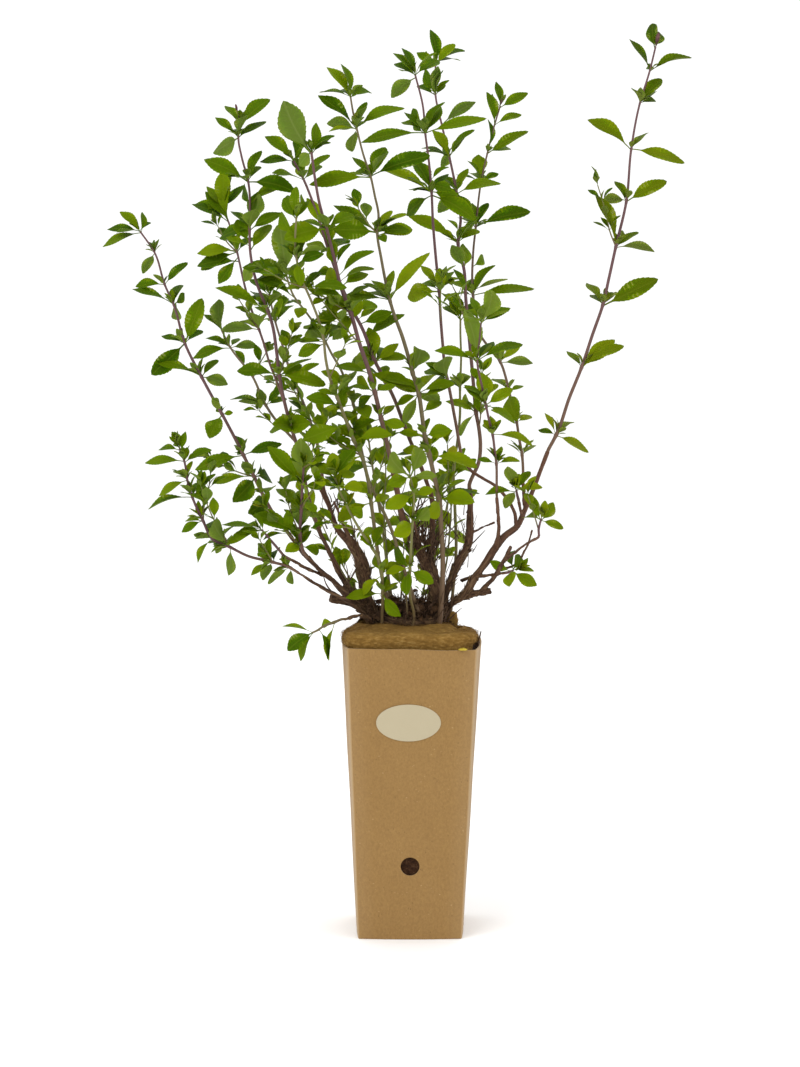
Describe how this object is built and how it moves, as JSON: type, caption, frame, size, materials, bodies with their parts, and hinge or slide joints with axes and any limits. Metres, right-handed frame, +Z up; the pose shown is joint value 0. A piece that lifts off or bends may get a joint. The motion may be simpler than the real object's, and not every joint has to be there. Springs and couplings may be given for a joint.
{
  "type": "potted herb",
  "caption": "Bushy autumn sage with woody trunks and upright leafy stems, growing in a tall tapered square carton pot with a blank oval label and a fibre mat over its soil.",
  "frame": {"origin": "middle of the carton pot's underside, on the surface that it stands on", "axes": "+Z up along the pot's axis to the plant's top, -Y towards the front wall that carries the label and the hole, +X to the right as seen from the front"},
  "size_m": [0.4769, 0.2535, 0.7377],
  "materials": {
    "carton": "flecked brown board, matte",
    "label": "cream paper, matte, blank",
    "fibre": "felted plant fibre, rough",
    "soil": "dark damp potting soil, rough",
    "old_wood": "dark brown bark, rough",
    "leafy_stem": "fresh green leaves on green and purple-brown stems, soft sheen"
  },
  "bodies": {
    "root": {"carton_pot": "carton", "oval_label": "label", "fibre_mat": "fibre", "soil": "soil", "wood_left": "old_wood", "wood_centre": "old_wood", "wood_right": "old_wood", "corner_twig": "old_wood", "stem_right_outer": "leafy_stem", "stem_left_outer": "leafy_stem", "stem_low_left": "leafy_stem", "sprig_low_left": "leafy_stem", "sprig_left_front": "leafy_stem", "stem_left_tall": "leafy_stem", "stem_back_left": "leafy_stem", "stem_mid_left": "leafy_stem", "stem_front_left": "leafy_stem", "stem_leaning_left": "leafy_stem", "stem_purple_front": "leafy_stem", "stem_purple_back": "leafy_stem", "stem_centre_tall": "leafy_stem", "stem_tallest": "leafy_stem", "stem_back_right": "leafy_stem", "stem_right_tall": "leafy_stem", "stem_right_front": "leafy_stem", "stem_green_inner": "leafy_stem", "sprig_front_left": "leafy_stem", "sprig_front_centre": "leafy_stem", "sprig_side_right": "leafy_stem", "sprig_right_tip": "leafy_stem", "sprig_right_fork": "leafy_stem", "sprig_hanging": "leafy_stem", "sprig_back_left": "leafy_stem", "sprig_back_right": "leafy_stem"}
  },
  "joints": []
}
